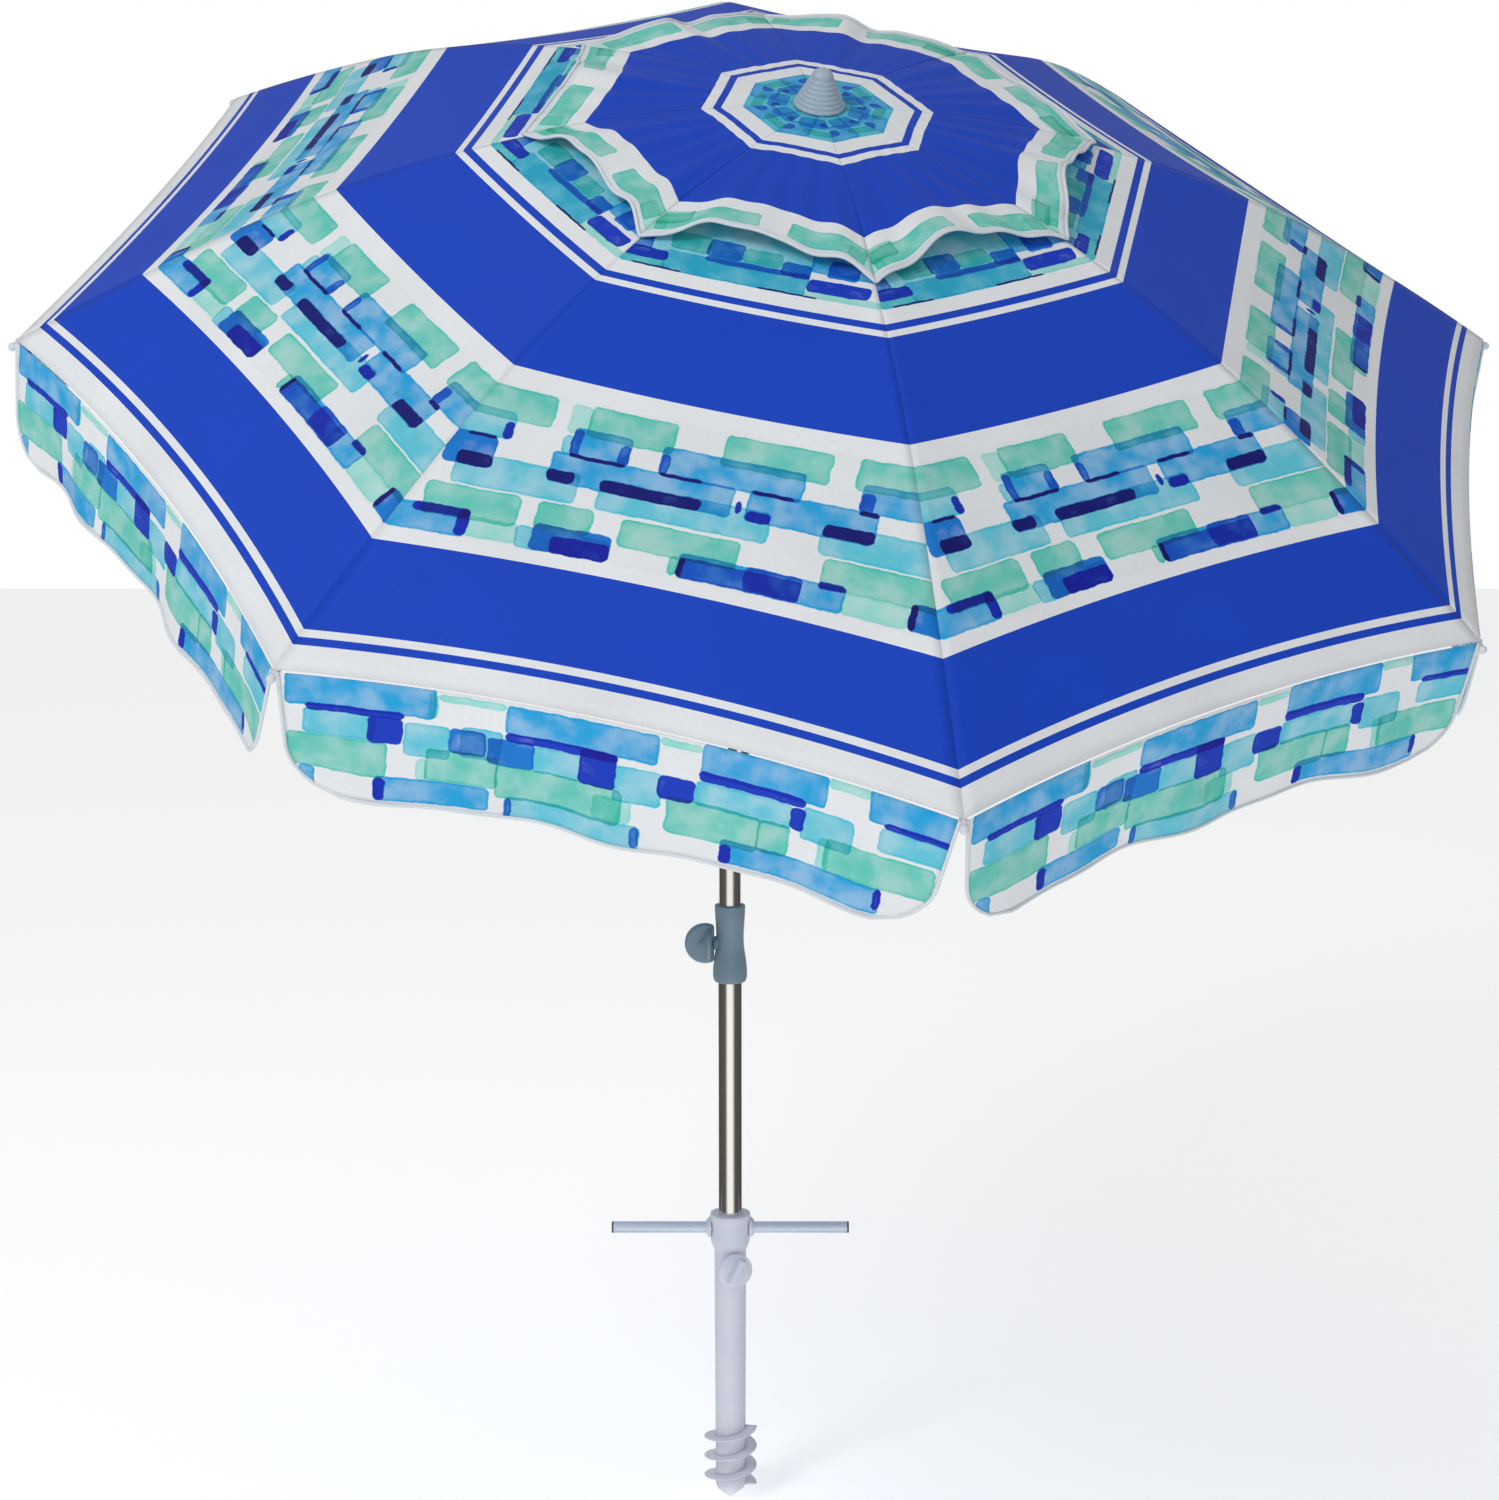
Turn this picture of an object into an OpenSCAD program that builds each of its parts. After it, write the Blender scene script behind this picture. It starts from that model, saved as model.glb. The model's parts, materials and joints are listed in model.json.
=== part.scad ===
// Beach umbrella with a tilting head, an eight-rib vented canopy and a screw-in sand anchor.
// Frame: +Z up along the lower pole, origin at the tip of the anchor screw, front of the canopy towards -Y.

/* [Canopy] */
// Radius at a rib tip, measured square to the canopy axis
rim_r = 950; // [900:5:1000]
// Radius of curvature of the crown
crown_r = 1500; // [1400:10:1700]
// Radius of curvature of the flatter skirt outside the crown
skirt_r = 3900; // [3000:50:5000]
// Slope where the crown meets the skirt, in degrees
join_slope = 27.5; // [26:0.5:28.5]
// Thickness of each cloth solid
cloth_t = 2; // [1.5:0.25:2.5]
// Gap between a seam and the rib under it
seam_gap = 1.2; // [1:0.1:2]
// Radius of the vent hole in the main canopy
vent_hole_r = 232; // [200:1:260]
// Radius of the vent canopy at its corners
vent_r = 354; // [330:1:370]
// Height of the vent canopy over the main canopy
vent_lift = 4; // [3.5:0.5:6]
// Drop of each valance flap
valance_drop = 140; // [120:1:160]
// Angle by which a flap flares out from the canopy axis
valance_flare = 6; // [0:1:12]
// Radius of a flap's lower corners
valance_corner = 62; // [40:1:65]

/* [Head] */
// Backward lean of the canopy axis in the stored pose
head_tilt = 30; // [0:1:30]
// Turn of the whole head about the lower pole
head_turn = 11.55; // [-20:0.05:20]
// Distance from the tilt pin to the top of the canopy
head_len = 1110; // [1105:1:1150]
// Height of the tilt pin
hinge_z = 1033.5; // [1030:0.5:1050]
// Height of the finial cone
finial_h = 47; // [40:1:55]
// Diameter of the finial base
finial_d = 62; // [56:1:66]

/* [Ribs] */
// Depth of the space that a rib takes under the cloth
rib_d = 5; // [4.5:0.5:5.5]
// Diameter of a rib rod inside the join
inner_rod_d = 4.2; // [3.8:0.1:4.4]
// Diameter of a rib rod outside the join
outer_rod_d = 3.6; // [3:0.1:3.7]
// Diameter of a stretcher rod
stretcher_d = 4; // [3:0.5:4.5]
// Radius at which the ribs pivot in the top notch
rib_pivot_r = 22; // [21:0.5:24]
// Radius at which the stretchers join the ribs
bracket_r = 420; // [400:5:440]
// Radius at which the stretchers seat in the runner
runner_seat_r = 30; // [29:0.5:31]
// Depth of the runner seat below the canopy top when open
runner_seat_depth = 302; // [290:1:320]

/* [Poles] */
// Outer diameter of the lower tube
lower_d = 35; // [35:0.1:35.4]
// Outer diameter of the middle and upper tubes
upper_d = 32; // [31.6:0.1:32]
// Wall of every tube
tube_wall = 1.2; // [0.9:0.1:1.2]
// Top of the height clamp
clamp_top = 908; // [900:1:912]
// Bottom of the height clamp
clamp_bottom = 794; // [790:1:798]

/* [Sand anchor] */
// Top of the anchor collar
collar_top = 443; // [440:1:450]
// Diameter of the anchor collar
collar_d = 57.5; // [56:0.5:60]
// Diameter of the anchor tube
anchor_d = 46; // [45:0.5:48]
// Diameter of the screw flight
flight_d = 78.6; // [70:0.1:90]
// Pitch of the screw flight
flight_pitch = 30.3; // [28:0.1:32]
// Whole turns of the screw flight
flight_turns = 3; // [2:1:3]
// Length of the cross bar
bar_len = 351; // [330:1:380]
// Diameter of the cross bar
bar_d = 17; // [16:0.5:18]

/* [Hidden] */
$fn = 96;
ribs = 8;
sector = 360 / ribs;
half_sector = sector / 2;

// canopy profile: a crown arc that runs tangent into a flatter skirt arc
join_r = crown_r * sin(join_slope);
skirt_cx = join_r - skirt_r * sin(join_slope);
skirt_cz = -crown_r + (crown_r - skirt_r) * cos(join_slope);
rim_slope = asin((rim_r - skirt_cx) / skirt_r);
function surface_z(r) =
    r <= join_r
    ? -crown_r + sqrt(crown_r * crown_r - r * r)
    : skirt_cz + sqrt(skirt_r * skirt_r - (r - skirt_cx) * (r - skirt_cx));
rim_z = surface_z(rim_r);

// ribs
rib_sink = cloth_t * 1.2 + rib_d / 2 + 0.7;
rib_pivot_z = -crown_r + sqrt(pow(crown_r - rib_sink, 2) - rib_pivot_r * rib_pivot_r);
ring_wire_r = 1;
eye_bore_r = 1.5;
eye_r = 3.8;
eye_t = 4;
bracket_slope = asin(bracket_r / crown_r);
bracket_sink = rib_sink + 8;
joint_r = (crown_r - bracket_sink) * sin(bracket_slope);
joint_z = -crown_r + (crown_r - bracket_sink) * cos(bracket_slope);
pivot_pin_r = 1.5;
stretcher_bore_r = 1.55;
stretcher_run = joint_r - runner_seat_r;
stretcher_rise = joint_z + runner_seat_depth;
stretcher_len = sqrt(stretcher_run * stretcher_run + stretcher_rise * stretcher_rise);
stretcher_rake = atan2(stretcher_rise, stretcher_run);

// tubes
upper_r = upper_d / 2;
lower_r = lower_d / 2;
swage = 0.1;
slide_gap = 0.3;
upper_bore_r = upper_r - tube_wall;
lower_bore_r = lower_r - tube_wall;
lower_foot_z = 204;
lower_top_z = 835;
middle_foot_z = 500;
middle_top_z = 990;
socket_bottom_z = 982;
socket_shelf_z = hinge_z - 21;
tongue_base = 22;
upper_start = 40;
upper_stop = 30;
knob_z = 851;
clamp_screw_r = 3;
bar_z = 421;
anchor_knob_z = 364;
anchor_knob_turn = 14;
anchor_bore_r = lower_r + slide_gap;
anchor_solid_z = 196;
anchor_foot_z = 40;
flight_z = 21;

module canopy_frame() {
    translate([0, 0, hinge_z])
        rotate([0, 0, head_turn])
            rotate([head_tilt, 0, 0])
                translate([0, 0, head_len])
                    children();
}

module tilt_frame() {
    translate([0, 0, hinge_z])
        rotate([0, 0, head_turn])
            children();
}

module at_rib(k) {
    canopy_frame() rotate([0, 0, -90 + sector * (k - 1)]) children();
}

module at_gore(k) {
    canopy_frame() rotate([0, 0, -90 + sector * (k - 0.5)]) children();
}

module tube(r_out, r_in, z0, z1) {
    translate([0, 0, z0])
        difference() {
            cylinder(r = r_out, h = z1 - z0);
            translate([0, 0, -1]) cylinder(r = r_in, h = z1 - z0 + 2);
        }
}

// a rod bent to part of a circle in the XZ plane; angles run from the vertical
module arc_rod(centre_x, centre_z, bend_r, from, to, d) {
    translate([centre_x, 0, centre_z])
        rotate([90, 0, 0])
            rotate([0, 0, 90 - to])
                rotate_extrude(angle = to - from, $fn = 720)
                    translate([bend_r, 0]) circle(d = d, $fn = 24);
}

module cross_cylinder(r, len) {
    rotate([90, 0, 0]) cylinder(r = r, h = len, center = true, $fn = 48);
}

// ---- sand anchor ----
module anchor_tube() {
    color("Lavender")
        difference() {
            union() {
                rotate_extrude()
                    polygon([
                        [0, anchor_foot_z], [anchor_d / 2 - 1, anchor_foot_z], [anchor_d / 2 - 0.5, 120],
                        [anchor_d / 2 + 0.5, 388], [collar_d / 2 - 1.5, 396], [collar_d / 2, 402],
                        [collar_d / 2, 430], [collar_d / 2 + 1.2, 438], [collar_d / 2 + 0.6, collar_top],
                        [0, collar_top]
                    ]);
                for (side = [-1, 1]) {
                    translate([side * 28, 0, bar_z]) rotate([0, side * 90, 0]) cylinder(d = 30, h = 4.5);
                    translate([side * 28, 0, bar_z]) rotate([0, side * 90, 0]) cylinder(d = 24, h = 7);
                }
                translate([0, 0, anchor_knob_z])
                    rotate([90, 0, anchor_knob_turn]) cylinder(d = 20, h = 27.5);
            }
            translate([0, 0, anchor_solid_z]) cylinder(r = anchor_bore_r, h = 300);
            translate([0, 0, bar_z]) rotate([0, 90, 0])
                cylinder(d = bar_d + 0.2, h = 120, center = true);
            translate([0, 0, anchor_knob_z])
                rotate([90, 0, anchor_knob_turn]) cylinder(r = 3.05, h = 60, $fn = 48);
        }
}

// helical flight: four corners at each step, thicker at the root than at the edge
flight_steps = flight_turns * 32;
flight_root_r = anchor_d / 2 - 3;
function flight_ring(i) =
    let (a = 360 * flight_turns * i / flight_steps, z = flight_z + flight_pitch * a / 360)
    [
        [flight_root_r * cos(a), flight_root_r * sin(a), z - 2.4],
        [flight_d / 2 * cos(a), flight_d / 2 * sin(a), z - 0.9],
        [flight_d / 2 * cos(a), flight_d / 2 * sin(a), z + 0.9],
        [flight_root_r * cos(a), flight_root_r * sin(a), z + 2.4]
    ];

module flight() {
    points = [for (i = [0:flight_steps]) each flight_ring(i)];
    sides = [
        for (i = [0:flight_steps - 1], j = [0:3])
            let (a = 4 * i + j, b = 4 * i + (j + 1) % 4)
            each [[a, b, b + 4], [a, b + 4, a + 4]]
    ];
    last = 4 * flight_steps;
    polyhedron(points, concat(sides, [[3, 2, 1, 0], [last, last + 1, last + 2, last + 3]]));
}

module anchor_auger() {
    color("Lavender")
        union() {
            rotate_extrude($fn = 48)
                polygon([[0, 0], [20.5, 17], [22, 22], [22, anchor_foot_z], [0, anchor_foot_z]]);
            difference() {
                flight();
                translate([0, 0, anchor_foot_z])
                    cylinder(r1 = anchor_d / 2 - 0.9, r2 = anchor_d / 2 - 0.4, h = 80, $fn = 64);
            }
        }
}

module handle_bar() {
    color("LightSteelBlue")
        translate([0, 0, bar_z]) rotate([0, 90, 0])
            difference() {
                cylinder(d = bar_d, h = bar_len - 6, center = true);
                cylinder(d = bar_d - 2.4, h = bar_len + 6, center = true);
            }
}

module handle_bar_caps() {
    color("LightSlateGray")
        for (side = [-1, 1])
            translate([side * (bar_len / 2 - 3), 0, bar_z])
                rotate([0, side * 90, 0]) {
                    cylinder(d = bar_d, h = 3);
                    translate([0, 0, -14]) cylinder(d = bar_d - 2.4, h = 14);
                }
}

module anchor_knob() {
    color("Lavender")
        translate([0, 0, anchor_knob_z])
            rotate([90, 0, anchor_knob_turn])
                translate([0, 0, 28.2])
                    difference() {
                        union() {
                            cylinder(d = 51.5, h = 5);
                            rotate([0, 0, 62]) translate([-21, -6.5, 4]) cube([42, 13, 12]);
                        }
                        translate([0, 0, -1]) cylinder(r = 3, h = 11, $fn = 48);
                    }
}

module anchor_knob_screw() {
    color("Silver")
        translate([0, 0, anchor_knob_z])
            rotate([90, 0, anchor_knob_turn])
                translate([0, 0, lower_r + 0.1]) cylinder(r = 3, h = 38.2 - lower_r - 0.1, $fn = 48);
}

// ---- poles ----
module lower_pole() {
    color("BlanchedAlmond")
        difference() {
            union() {
                tube(lower_r - swage, lower_bore_r, lower_foot_z, collar_top + 3);
                tube(lower_r, lower_bore_r, collar_top + 3, clamp_bottom - 3);
                tube(lower_r - swage, lower_bore_r, clamp_bottom - 3, lower_top_z);
            }
            translate([0, 0, bar_z]) rotate([0, 90, 0])
                cylinder(d = bar_d + 0.2, h = 120, center = true);
        }
}

module pole_foot_plug() {
    color("DimGray") {
        translate([0, 0, lower_foot_z - 4]) cylinder(r = lower_r - swage, h = 4);
        translate([0, 0, lower_foot_z]) cylinder(r = lower_bore_r, h = 22);
    }
}

module height_clamp() {
    color("SlateGray")
        difference() {
            union() {
                rotate_extrude()
                    polygon([
                        [0, clamp_bottom], [21.5, clamp_bottom], [24, clamp_bottom + 2.5], [25, clamp_bottom + 9],
                        [24.2, clamp_bottom + 24], [22.2, clamp_bottom + 40], [20.4, clamp_bottom + 52],
                        [19.8, clamp_bottom + 64], [20.4, clamp_bottom + 80], [21.6, clamp_bottom + 100],
                        [22.3, clamp_top - 3], [22.3, clamp_top], [0, clamp_top]
                    ]);
                translate([0, 0, knob_z]) rotate([0, -90, 0]) cylinder(d = 17, h = 26);
            }
            translate([0, 0, clamp_bottom - 1]) cylinder(r = lower_r - swage, h = lower_top_z - clamp_bottom + 1);
            translate([0, 0, lower_top_z - 1]) cylinder(r = upper_r + slide_gap, h = 100);
            translate([0, 0, knob_z]) rotate([0, -90, 0]) cylinder(r = 5, h = 40, $fn = 48);
        }
}

module clamp_insert() {
    color("Goldenrod")
        translate([0, 0, knob_z]) rotate([0, -90, 0])
            translate([0, 0, 17.5])
                difference() {
                    cylinder(r = 5, h = 8.5, $fn = 48);
                    translate([0, 0, -1]) cylinder(r = clamp_screw_r + 0.05, h = 12, $fn = 48);
                }
}

module height_knob() {
    color("SlateGray")
        translate([0, 0, knob_z]) rotate([0, -90, 0])
            translate([0, 0, 26.5])
                difference() {
                    union() {
                        cylinder(d1 = 44, d2 = 50, h = 7);
                        intersection() {
                            translate([0, 0, 15]) cube([60, 15, 44], center = true);
                            translate([0, 0, 11]) rotate([90, 0, 0]) cylinder(d = 59, h = 20, center = true);
                            cylinder(d = 60, h = 40);
                        }
                    }
                    translate([0, 0, -1]) cylinder(r = clamp_screw_r, h = 16, $fn = 48);
                }
}

module height_knob_screw() {
    color("Silver")
        translate([0, 0, knob_z]) rotate([0, -90, 0])
            translate([0, 0, upper_r + 0.15]) cylinder(r = clamp_screw_r, h = 41.5 - upper_r - 0.15, $fn = 48);
}

module middle_pole() {
    color("BlanchedAlmond") tube(upper_r, upper_bore_r, middle_foot_z, middle_top_z);
}

module middle_pole_bush() {
    color("DimGray") {
        translate([0, 0, middle_foot_z - 4]) cylinder(r = upper_r, h = 4);
        translate([0, 0, middle_foot_z]) cylinder(r = upper_bore_r, h = 20);
    }
}

// ---- tilt head ----
socket_r = 19.5;
ear_in = 9;
ear_out = 13.5;
ear_r = 14;
pin_r = 4;
button_r = 6;

module tilt_socket() {
    color("SlateGray")
        tilt_frame()
            difference() {
                union() {
                    translate([0, 0, socket_bottom_z - hinge_z])
                        cylinder(r = socket_r, h = socket_shelf_z - socket_bottom_z);
                    for (side = [-1, 1])
                        intersection() {
                            translate([side * (ear_in + ear_out) / 2, 0, 0])
                                hull() {
                                    rotate([0, 90, 0])
                                        cylinder(r = ear_r, h = ear_out - ear_in, center = true, $fn = 64);
                                    translate([0, 0, socket_shelf_z - hinge_z - 1])
                                        cube([ear_out - ear_in, 26, 2], center = true);
                                }
                            translate([0, 0, -30]) cylinder(r = socket_r, h = 60);
                        }
                }
                translate([0, 0, socket_bottom_z - hinge_z - 1])
                    cylinder(r = upper_r, h = middle_top_z - socket_bottom_z + 1);
                rotate([0, 90, 0]) cylinder(r = pin_r + 0.05, h = 60, center = true, $fn = 48);
                translate([0, 0, -32.5]) rotate([90, 0, 0]) translate([0, 0, -6])
                    cylinder(r = button_r + 0.1, h = 40, $fn = 48);
            }
}

module tilt_button() {
    color("Gainsboro")
        tilt_frame() translate([0, 0, -32.5]) rotate([90, 0, 0]) {
            translate([0, 0, 6]) cylinder(r = button_r, h = 14.5, $fn = 48);
            translate([0, 0, 20.5]) cylinder(r1 = button_r, r2 = button_r - 1.5, h = 2.5, $fn = 48);
        }
}

module tilt_button_spring() {
    color("Silver")
        tilt_frame() translate([0, 0, -32.5]) rotate([90, 0, 0]) translate([0, 0, -5.7])
            difference() {
                cylinder(r = 4.6, h = 11.5, $fn = 32);
                translate([0, 0, -1]) cylinder(r = 3.6, h = 14, $fn = 32);
            }
}

module tilt_tongue() {
    color("SlateGray")
        tilt_frame() rotate([head_tilt, 0, 0])
            difference() {
                union() {
                    intersection() {
                        union() {
                            rotate([0, 90, 0]) cylinder(r = 12.5, h = 2 * ear_in - 0.8, center = true, $fn = 64);
                            translate([-ear_in + 0.4, -12.5, 0]) cube([2 * ear_in - 0.8, 25, tongue_base]);
                        }
                        translate([0, 0, -30]) cylinder(r = socket_r, h = 60);
                    }
                    translate([0, 0, tongue_base]) cylinder(r = socket_r - 0.5, h = upper_start - tongue_base);
                    translate([0, 0, upper_start]) cylinder(r = upper_bore_r, h = 32);
                }
                rotate([0, 90, 0]) cylinder(r = pin_r, h = 60, center = true, $fn = 48);
            }
}

module tilt_pin() {
    color("Silver")
        tilt_frame() rotate([0, 90, 0]) cylinder(r = pin_r, h = 2 * ear_out + 1.4, center = true, $fn = 48);
}

catch_slot_w = 4.8;
catch_drop = 85;

module upper_pole() {
    color("BlanchedAlmond")
        canopy_frame()
            difference() {
                tube(upper_r, upper_bore_r, -head_len + upper_start, -upper_stop);
                rotate([0, 0, -90 + half_sector])
                    translate([12, -catch_slot_w / 2, runner_top - catch_drop - 47])
                        cube([10, catch_slot_w, 47.5]);
            }
}

// ---- canopy hub ----
notch_top = -4.2;
notch_flange_r = 28;

module top_notch() {
    color("SlateGray")
        canopy_frame()
            difference() {
                union() {
                    translate([0, 0, -18]) cylinder(r = notch_flange_r, h = notch_top + 18);
                    translate([0, 0, -upper_stop]) cylinder(r = 19, h = upper_stop - 18);
                    translate([0, 0, -upper_stop - 24]) cylinder(r = upper_bore_r, h = 24);
                }
                for (k = [1:ribs])
                    rotate([0, 0, -90 + sector * (k - 1)])
                        translate([17, -eye_t / 2 - 0.6, -19]) cube([20, eye_t + 1.2, 30]);
                translate([0, 0, rib_pivot_z]) rotate_extrude()
                    translate([rib_pivot_r, 0]) circle(r = ring_wire_r, $fn = 24);
                translate([0, 0, -26]) cylinder(r = 5, h = 40);
            }
}

module notch_ring_wire() {
    color("Silver")
        canopy_frame() translate([0, 0, rib_pivot_z])
            rotate_extrude() translate([rib_pivot_r, 0]) circle(r = ring_wire_r, $fn = 24);
}

finial_steps = 7;

module finial() {
    color("LightSlateGray")
        canopy_frame()
            translate([0, 0, vent_lift + 0.6]) {
                rotate_extrude()
                    polygon(concat(
                        [[0, 0], [finial_d / 2, 0]],
                        [
                            for (i = [0:finial_steps - 1])
                                let (
                                    r0 = finial_d / 2 - i * (finial_d / 2 - 14) / finial_steps,
                                    r1 = finial_d / 2 - (i + 1) * (finial_d / 2 - 14) / finial_steps,
                                    z0 = i * (finial_h - 12) / finial_steps,
                                    z1 = (i + 1) * (finial_h - 12) / finial_steps
                                )
                                each [[r0, z0 + 2.6], [r1 + 0.6, z1 - 0.4], [r1 - 0.4, z1]]
                        ],
                        [for (a = [0:15:90]) [13 * cos(a), finial_h - 12 + 12 * sin(a)]]
                    ));
                translate([0, 0, -vent_lift - 26]) cylinder(r = 4.9, h = vent_lift + 26, $fn = 48);
            }
}

module vent_canopy() {
    color("RoyalBlue")
        canopy_frame()
            intersection() {
                translate([0, 0, -crown_r]) rotate_extrude($fn = 180)
                    polygon(concat(
                        [for (a = [0:0.5:14]) let (s = max(a, 0.25)) (crown_r + vent_lift) * [sin(s), cos(s)]],
                        [for (a = [14:-0.5:0]) let (s = max(a, 0.25))
                            (crown_r + vent_lift - cloth_t) * [sin(s), cos(s)]]
                    ));
                rotate([0, 0, -90]) translate([0, 0, -100]) cylinder(r = vent_r, h = 200, $fn = 8);
            }
}

// ---- runner ----
crown_h = 16;
runner_top = -runner_seat_depth + 9;

module runner() {
    color("SlateGray")
        canopy_frame()
            difference() {
                union() {
                    translate([0, 0, runner_top - crown_h]) cylinder(r = 38, h = crown_h);
                    translate([0, 0, runner_top - 84]) cylinder(r = 21.5, h = 84);
                    translate([0, 0, runner_top - 84]) cylinder(r = 25, h = 6);
                }
                translate([0, 0, runner_top - 90]) cylinder(r = upper_r + slide_gap, h = 120);
                for (k = [1:ribs])
                    rotate([0, 0, -90 + sector * (k - 1)])
                        translate([25, -eye_t / 2 - 0.6, runner_top - 30]) cube([20, eye_t + 1.2, 40]);
                translate([0, 0, runner_top - crown_h - 1])
                    difference() {
                        cylinder(r = 35, h = crown_h + 1 - 7);
                        translate([0, 0, -1]) cylinder(r = 27.6, h = crown_h + 10);
                    }
            }
}

module runner_catch() {
    color("Silver")
        canopy_frame()
            rotate([0, 0, -90 + half_sector])
                translate([0, 0, runner_top - catch_drop])
                    rotate([90, 0, 0])
                        linear_extrude(4, center = true)
                            polygon([[14.2, -46], [15.4, -46], [15.9, -24], [20.6, -2.6], [20.6, -0.6], [14.2, -0.6]]);
}

// ---- ribs and stretchers ----
tip_cap_r = 4.2;
tip_cap_h = 7.5;
tip_sleeve_r = 3.2;
tip_sleeve_h = 12;
ear_gap = 3.1;
ear_t = 0.8;
rib_eye_to = 24.5;

module rib(k) {
    eye_slope = asin(rib_pivot_r / (crown_r - rib_sink));
    start_slope = asin(rib_eye_to / (crown_r - rib_sink));
    color("Gainsboro")
        at_rib(k)
            union() {
                difference() {
                    union() {
                        translate([rib_pivot_r, 0, rib_pivot_z]) cross_cylinder(eye_r, eye_t);
                        arc_rod(0, -crown_r, crown_r - rib_sink, start_slope, join_slope, inner_rod_d);
                    }
                    translate([rib_pivot_r, 0, rib_pivot_z]) cross_cylinder(eye_bore_r, eye_t + 2);
                }
                arc_rod(skirt_cx, skirt_cz, skirt_r - rib_sink, join_slope - 0.15, rim_slope, outer_rod_d);
                translate([
                    skirt_cx + (skirt_r - rib_sink) * sin(rim_slope),
                    0,
                    skirt_cz + (skirt_r - rib_sink) * cos(rim_slope)
                ]) rotate([0, 90 + rim_slope, 0]) {
                    translate([0, 0, -tip_sleeve_h / 2]) cylinder(r = tip_sleeve_r, h = tip_sleeve_h, $fn = 32);
                    translate([0, 0, 5.5]) cylinder(r = tip_cap_r, h = tip_cap_h, $fn = 32);
                }
                translate([0, 0, -crown_r]) rotate([0, bracket_slope, 0]) {
                    for (side = [-1, 1])
                        translate([-6, side * ear_gap - ear_t, crown_r - bracket_sink - 4]) cube([12, 2 * ear_t, 13]);
                    translate([-6, -3.9, crown_r - rib_sink - 0.5]) cube([12, 7.8, 2.7]);
                }
                translate([joint_r, 0, joint_z]) cross_cylinder(pivot_pin_r, 8.6);
            }
}

module stretcher(k) {
    color("Gainsboro")
        at_rib(k)
            translate([joint_r, 0, joint_z])
                rotate([0, 180 - stretcher_rake, 0])
                    difference() {
                        union() {
                            cross_cylinder(3.4, 3.6);
                            translate([0, -1.8, -1.5]) cube([12, 3.6, 3]);
                            translate([9, 0, 0]) rotate([0, 90, 0])
                                cylinder(d = stretcher_d, h = stretcher_len - 18, $fn = 32);
                            translate([stretcher_len - 12, -1.8, -1.5]) cube([12, 3.6, 3]);
                            translate([stretcher_len, 0, 0]) cross_cylinder(3.2, 3.6);
                            translate([stretcher_len, 0, 0]) cross_cylinder(1.6, 9);
                        }
                        cross_cylinder(stretcher_bore_r, 6);
                    }
}

// ---- cloth ----
strip_steps = 24;

module gore_strip(from_r, to_r, lift) {
    across = cos(half_sector);
    radii = [for (i = [0:strip_steps]) from_r + (to_r - from_r) * i / strip_steps];
    rotate([90, 0, 0])
        linear_extrude(900, center = true)
            polygon(concat(
                [for (r = radii) [r * across, surface_z(r) + lift]],
                [for (i = [strip_steps:-1:0]) [radii[i] * across, surface_z(radii[i]) + lift - cloth_t * 1.1]]
            ));
}

module gore_wedge(gap) {
    reach = 1200;
    translate([gap / sin(half_sector), 0, -600])
        linear_extrude(900)
            polygon([[0, 0], [reach, reach * tan(half_sector)], [reach, -reach * tan(half_sector)]]);
}

module panel(k) {
    color(k % 2 == 0 ? "RoyalBlue" : "MediumBlue")
        at_gore(k)
            intersection() {
                gore_strip(vent_hole_r, rim_r, 0);
                gore_wedge(seam_gap / 2);
            }
}

valance_half = rim_r * sin(half_sector) - 7;

module valance(k) {
    color(k % 2 == 0 ? "Turquoise" : "MediumAquamarine")
        at_gore(k)
            translate([rim_r * cos(half_sector) + 2.4, 0, rim_z - 0.6])
                rotate([0, -valance_flare, 0])
                    rotate([90, 0, -90])
                        linear_extrude(cloth_t, center = true)
                            union() {
                                translate([-valance_half, -valance_drop + valance_corner])
                                    square([2 * valance_half, valance_drop - valance_corner]);
                                translate([-valance_half + valance_corner, -valance_drop])
                                    square([2 * (valance_half - valance_corner), valance_corner]);
                                for (side = [-1, 1])
                                    translate([side * (valance_half - valance_corner), -valance_drop + valance_corner])
                                        circle(r = valance_corner);
                            }
}

anchor_tube();
anchor_auger();
handle_bar();
handle_bar_caps();
anchor_knob();
anchor_knob_screw();
lower_pole();
pole_foot_plug();
height_clamp();
clamp_insert();
height_knob();
height_knob_screw();
middle_pole();
middle_pole_bush();
tilt_socket();
tilt_button();
tilt_button_spring();
tilt_tongue();
tilt_pin();
upper_pole();
top_notch();
notch_ring_wire();
finial();
vent_canopy();
runner();
runner_catch();
for (k = [1:ribs]) {
    rib(k);
    stretcher(k);
    panel(k);
    valance(k);
}
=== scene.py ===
import json
from math import asin, cos, pi, radians, sin, sqrt

import bmesh
import bpy
from mathutils import Matrix, Vector


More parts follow.
